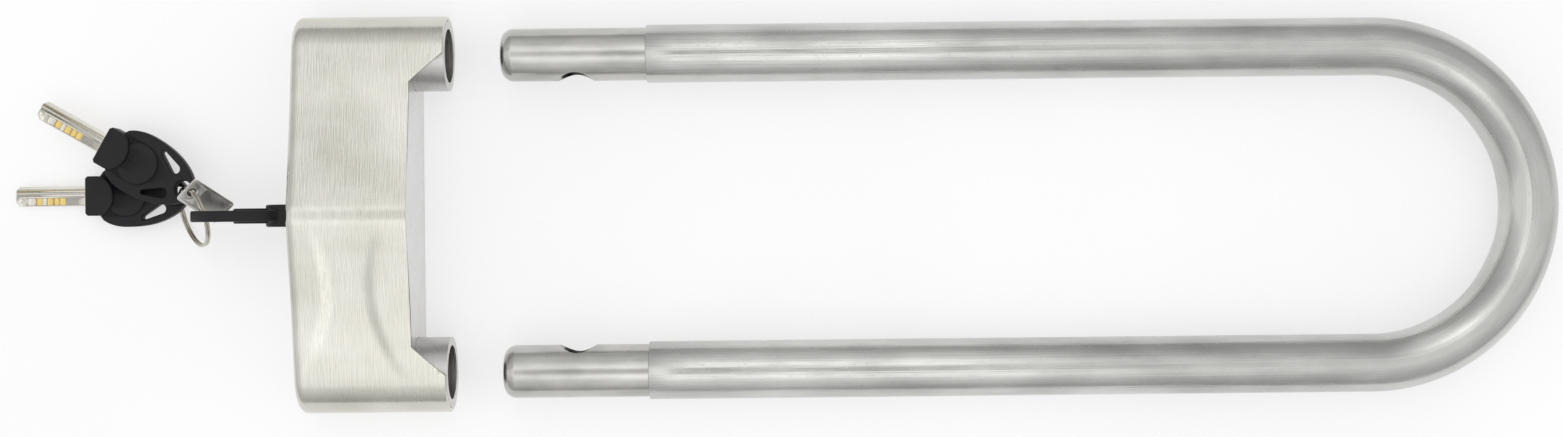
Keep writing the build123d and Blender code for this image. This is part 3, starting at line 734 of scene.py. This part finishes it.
def mill_blade(name, place):
    """The blade: its two grooves and its cuts on each face, with brass where a cut is deep."""
    blank = rectangle(-TANG_LENGTH, BLADE_LENGTH, BLADE_WIDTH / 2, BLADE_CORNER)
    blade = slab(f"{name}_blade_metal", [blank], BLADE_THICKNESS, BLADE_EDGE, place)
    for face in (1, -1):
        for offset, width, depth in KEY_GROOVES:
            lift = face * (BLADE_THICKNESS / 2 - depth * MM + GROOVE_CUTTER / 2)
            here = place @ Matrix.Translation((0, face * offset * MM, 0))
            line = rectangle(-MM, BLADE_LENGTH + MM, width * MM / 2)
            cut_away(blade, slab(f"{name}_groove", [line], GROOVE_CUTTER, 0.05 * MM, here, lift))
    finish_with(blade, key_nickel)
    blade.data.materials.append(key_brass)
    for face in (1, -1):
        for middle, length, depth in KEY_CUTS:
            lift = face * (BLADE_THICKNESS / 2 - depth * MM + CUT_CUTTER / 2)
            here = place @ Matrix.Translation((0, face * CUT_OFFSET, 0))
            start = (middle - length / 2) * MM
            pocket = rectangle(start, start + length * MM, CUT_HALF_WIDTH, 0.3 * MM)
            cut_away(blade, slab(f"{name}_cut", [pocket], CUT_CUTTER, 0.1 * MM, here, lift))
    below_face = BLADE_THICKNESS / 2 - 0.05 * MM
    to_key = place.inverted()
    for face in blade.data.polygons:
        spot = to_key @ face.center
        in_length = any(
            depth > BRASS_BELOW and abs(spot.x - middle * MM) < length * MM / 2 + 0.01 * MM
            for middle, length, depth in KEY_CUTS
        )
        in_width = abs(abs(spot.y) - CUT_OFFSET) < CUT_HALF_WIDTH + 0.05 * MM
        if in_length and in_width and abs(spot.z) < below_face:
            face.material_index = 1
    return blade


def build_key(name, body, place):
    """One key in its place: its bow and its blade, each standing for its own CAD node."""
    bow = mould_bow(name, place)
    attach(bow, body)
    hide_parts(f"{name}_bow")
    blade = mill_blade(name, place)
    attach(blade, body)
    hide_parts(f"{name}_blade")


joints = {joint["name"]: joint for joint in frame["joints"]}
bow_low, bow_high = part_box("key_bow")
key_axis = Vector(joints["plug_turn"]["pos_m"])
inserted_hole = Vector((bow_low.x + RING_HOLE_FROM_TIP, key_axis.y, key_axis.z))
build_key("key", "key", key_place(inserted_hole, Vector((1, 0, 0)), Vector((0, -1, 0))))

for name in ("lower_key", "upper_key"):
    turn_joint = joints[f"{name}_turn"]
    blade_low, blade_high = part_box(f"{name}_blade")
    up = Vector(turn_joint["axis"]).normalized()
    hole = Vector(turn_joint["pos_m"])
    way = (blade_low + blade_high) / 2 - hole
    build_key(name, name, key_place(hole, way - up * way.dot(up), up))

# ---- Split ring -----------------------------------------------------------------------------
# Two turns of flattened, nickel-plated spring wire, wound side by side. Each end lies against
# the other turn, and a short crossing joins the turns.

ring_low, ring_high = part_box("key_ring")
ring_centre = (ring_low + ring_high) / 2
ring_top = Vector(joints["ring_swing"]["pos_m"])
ring_up = (ring_top - ring_centre).normalized()
ring_side = Vector(joints["ring_swing"]["axis"]).normalized()
ring_axis = ring_side.cross(ring_up).normalized()
ring_radius = (ring_top - ring_centre).length
WIRE_HALF_WIDTH = 0.47 * MM
WIRE_HALF_HEIGHT = 0.53 * MM
WIRE_START = 2.2
TURN_GAP = 1.04
CROSSING = math.radians(28)
TURN_STEPS = 220
WIRE_STEPS = 20


def bulge(share, power):
    """A sine or cosine made squarer, so that a round wire's section turns into a flattened one."""
    return math.copysign(abs(share) ** power, share)


wire_rings = []
for step in range(TURN_STEPS + 1):
    turn = 4 * math.pi * step / TURN_STEPS
    crossed = ease((turn - 2 * math.pi + CROSSING / 2) / CROSSING)
    shift = WIRE_HALF_WIDTH * TURN_GAP * (2 * crossed - 1)
    taper = min(1.0, 0.72 + 0.14 * min(step, TURN_STEPS - step))
    out = ring_up * math.cos(turn + WIRE_START) + ring_side * math.sin(turn + WIRE_START)
    ring = []
    for wire_step in range(WIRE_STEPS):
        lap = 2 * math.pi * wire_step / WIRE_STEPS
        wide = bulge(math.cos(lap), 0.6) * WIRE_HALF_WIDTH * taper
        high = bulge(math.sin(lap), 0.7) * WIRE_HALF_HEIGHT * taper
        ring.append(ring_centre + out * (ring_radius + high) + ring_axis * (shift + wide))
    wire_rings.append(ring)
ring_bmesh = cap_ends(skin_rings(wire_rings, closed=False), WIRE_STEPS)
split_ring = smooth_object("split_ring_wire", ring_bmesh, 60)
ring_nickel = worked_steel(
    "ring_nickel_plate", lines=(700, 700, 700), dark=(0.42, 0.39, 0.33), light=(0.60, 0.57, 0.50),
    rough=0.14, swing=0.05, depth=6 * MICRON,
)
finish_with(split_ring, ring_nickel)
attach(split_ring, "ring")
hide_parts("key_ring")

# ---- Tag ------------------------------------------------------------------------------------
# A small tag stamped out of thin pale steel, left blank, with rounded corners, a punched hole
# and a shallow pressed border.

TAG_LENGTH = 19.4 * MM
TAG_WIDTH = 11.0 * MM
TAG_THICKNESS = 0.8 * MM
TAG_HOLE_INSET = 3.2 * MM
TAG_HOLE_RADIUS = 2.0 * MM
TAG_CORNER = 1.2 * MM
BORDER = 1.2 * MM
PANEL_FROM_HOLE = 3.2 * MM
PANEL_CORNER = 0.8 * MM
PANEL_DEPTH = 0.12 * MM
PANEL_CUTTER = 0.4 * MM
tag_low, tag_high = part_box("key_tag")
tag_hole = Vector(joints["tag_turn"]["pos_m"])
tag_up = Vector(joints["tag_turn"]["axis"]).normalized()
tag_way = (tag_low + tag_high) / 2 - tag_hole
tag_way = (tag_way - tag_up * tag_way.dot(tag_up)).normalized()
tag_turned = Matrix((tag_way, tag_up.cross(tag_way), tag_up)).transposed().to_4x4()
tag_place = Matrix.Translation(tag_hole) @ tag_turned


def rounded_rectangle(x_low, x_high, half_width, radius):
    """A rectangle with round corners."""
    corners = (
        ((x_high - radius, half_width - radius), 0),
        ((x_low + radius, half_width - radius), 90),
        ((x_low + radius, -half_width + radius), 180),
        ((x_high - radius, -half_width + radius), 270),
    )
    outline = []
    for corner, start in corners:
        outline += arc(corner, radius, start, start + 90, 8)
    return outline


tag_far = TAG_LENGTH - TAG_HOLE_INSET
blank = rounded_rectangle(-TAG_HOLE_INSET, tag_far, TAG_WIDTH / 2, TAG_CORNER)
hole = circle((0, 0), TAG_HOLE_RADIUS)
tag = slab("tag_plate", [blank, hole], TAG_THICKNESS, 0.15 * MM, tag_place)
pressed_part = rounded_rectangle(
    PANEL_FROM_HOLE, tag_far - BORDER, TAG_WIDTH / 2 - BORDER, PANEL_CORNER
)
panel_lift = TAG_THICKNESS / 2 - PANEL_DEPTH + PANEL_CUTTER / 2
panel = slab("tag_panel", [pressed_part], PANEL_CUTTER, 0.05 * MM, tag_place, panel_lift)
cut_away(tag, panel)
tag_steel = worked_steel(
    "tag_pale_steel", lines=(900, 60, 60), dark=(0.76, 0.75, 0.71), light=(0.88, 0.87, 0.83),
    rough=0.42, swing=0.07, depth=10 * MICRON,
)
finish_with(tag, tag_steel)
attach(tag, "tag")
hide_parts("key_tag")

# ---- Table, light and camera ----------------------------------------------------------------
# The lock lies on a white light table in a white tent. Over the legs the tent's roof has two
# bright panels beside a darker middle. Over the body it is evenly bright, and it is dull low down.

TABLE_SIZE = 12.0
GLOW = 0.55


def white_table():
    """White glass lit a little from below, with the faintest mottle."""
    material, tree, shader = new_material("white_table")
    mottle = grain(tree, (6, 6, 6), 2.0)
    mottled = spread(tree, mottle, 0.0, 1.0)
    tone = blend_colours(tree, mottled, (0.50, 0.50, 0.505), (0.53, 0.53, 0.53))
    tree.links.new(tone, shader.inputs["Base Color"])
    shader.inputs["Roughness"].default_value = 0.9
    shader.inputs["Specular IOR Level"].default_value = 0.0
    shader.inputs["Emission Color"].default_value = (1.0, 0.995, 1.0, 1.0)
    shader.inputs["Emission Strength"].default_value = GLOW
    return material


table_bmesh = bmesh.new()
bmesh.ops.create_grid(table_bmesh, x_segments=8, y_segments=8, size=TABLE_SIZE / 2)
table = smooth_object("table", table_bmesh)
table.location.z = cad_box[0][2]
finish_with(table, white_table())

# The roof's brightness, by how many degrees a direction leans from upright: across the lock over
# the legs and over the body, then along it, and the share that the body's roof has along it.
ROOF_OVER_LEGS = (
    (-90, 0.5), (-76, 0.6), (-60, 0.9), (-42, 0.95), (-32, 1.4), (-20, 1.65), (-12, 1.2),
    (-7, 0.6), (7, 0.6), (12, 1.2), (20, 1.65), (32, 1.4), (42, 0.95), (60, 0.9), (76, 0.6),
    (90, 0.5),
)
ROOF_OVER_BODY = (
    (-90, 0.62), (-60, 0.86), (-42, 1.0), (-31, 1.2), (-24, 1.06), (-15, 1.42), (-5, 1.24),
    (5, 1.24), (14, 1.36), (23, 0.84), (31, 1.02), (42, 0.9), (60, 0.8), (90, 0.6),
)
ROOF_ALONG = (
    (-90, 0.8), (-45, 0.74), (-24, 0.76), (-17, 1.04), (7, 1.0), (12, 0.8), (17, 0.68),
    (30, 0.66), (90, 0.76),
)
BODY_SHARE = ((-90, 1.0), (-9.5, 1.0), (-7.5, 0.0), (5, 0.0), (12, 1.0), (90, 1.0))
BRIGHTEST = 2.0


def roof_ramp(tree, lean, stops, top=BRIGHTEST):
    """A share of the top brightness, read from stops by how far a direction leans."""
    place = tree.nodes.new("ShaderNodeMapRange")
    place.inputs["From Min"].default_value = -math.pi / 2
    place.inputs["From Max"].default_value = math.pi / 2
    tree.links.new(lean, place.inputs["Value"])
    ramp = tree.nodes.new("ShaderNodeValToRGB")
    while len(ramp.color_ramp.elements) < len(stops):
        ramp.color_ramp.elements.new(0.5)
    for element, (angle, bright) in zip(ramp.color_ramp.elements, stops):
        element.position = (angle + 90) / 180
        element.color = (bright / top,) * 3 + (1.0,)
    tree.links.new(place.outputs["Result"], ramp.inputs["Fac"])
    return ramp.outputs["Color"]


def tent_light():
    """The white tent as the world, with its roof's bands."""
    world = bpy.data.worlds.new("tent")
    world.use_nodes = True
    tree = world.node_tree
    coordinates = tree.nodes.new("ShaderNodeTexCoord")
    parts = tree.nodes.new("ShaderNodeSeparateXYZ")
    tree.links.new(coordinates.outputs["Generated"], parts.inputs["Vector"])
    leans = {}
    for axis in ("Y", "X"):
        lean = tree.nodes.new("ShaderNodeMath")
        lean.operation = "ARCTAN2"
        tree.links.new(parts.outputs[axis], lean.inputs[0])
        tree.links.new(parts.outputs["Z"], lean.inputs[1])
        leans[axis] = lean.outputs["Value"]
    across = tree.nodes.new("ShaderNodeMix")
    across.data_type = "RGBA"
    tree.links.new(roof_ramp(tree, leans["X"], BODY_SHARE, 1.0), across.inputs["Factor"])
    tree.links.new(roof_ramp(tree, leans["Y"], ROOF_OVER_LEGS), across.inputs["A"])
    tree.links.new(roof_ramp(tree, leans["Y"], ROOF_OVER_BODY), across.inputs["B"])
    along = tree.nodes.new("ShaderNodeMix")
    along.data_type = "RGBA"
    along.blend_type = "MULTIPLY"
    along.inputs["Factor"].default_value = 1.0
    tree.links.new(across.outputs["Result"], along.inputs["A"])
    tree.links.new(roof_ramp(tree, leans["X"], ROOF_ALONG), along.inputs["B"])
    background = tree.nodes["Background"]
    tree.links.new(along.outputs["Result"], background.inputs["Color"])
    background.inputs["Strength"].default_value = BRIGHTEST**2
    return world


bpy.context.scene.world = tent_light()
bpy.context.scene.view_settings.view_transform = "Standard"

CAMERA_PLACE = (0.154, -0.003, 0.773)
CAMERA_ROLL = math.radians(-0.6)
LENS = 46.0
SENSOR = 36.0
camera_data = bpy.data.cameras.new("camera")
camera_data.lens = LENS
camera_data.sensor_width = SENSOR
camera = bpy.data.objects.new("camera", camera_data)
camera.location = CAMERA_PLACE
camera.rotation_euler = (0, 0, CAMERA_ROLL)
bpy.context.scene.collection.objects.link(camera)
bpy.context.scene.camera = camera
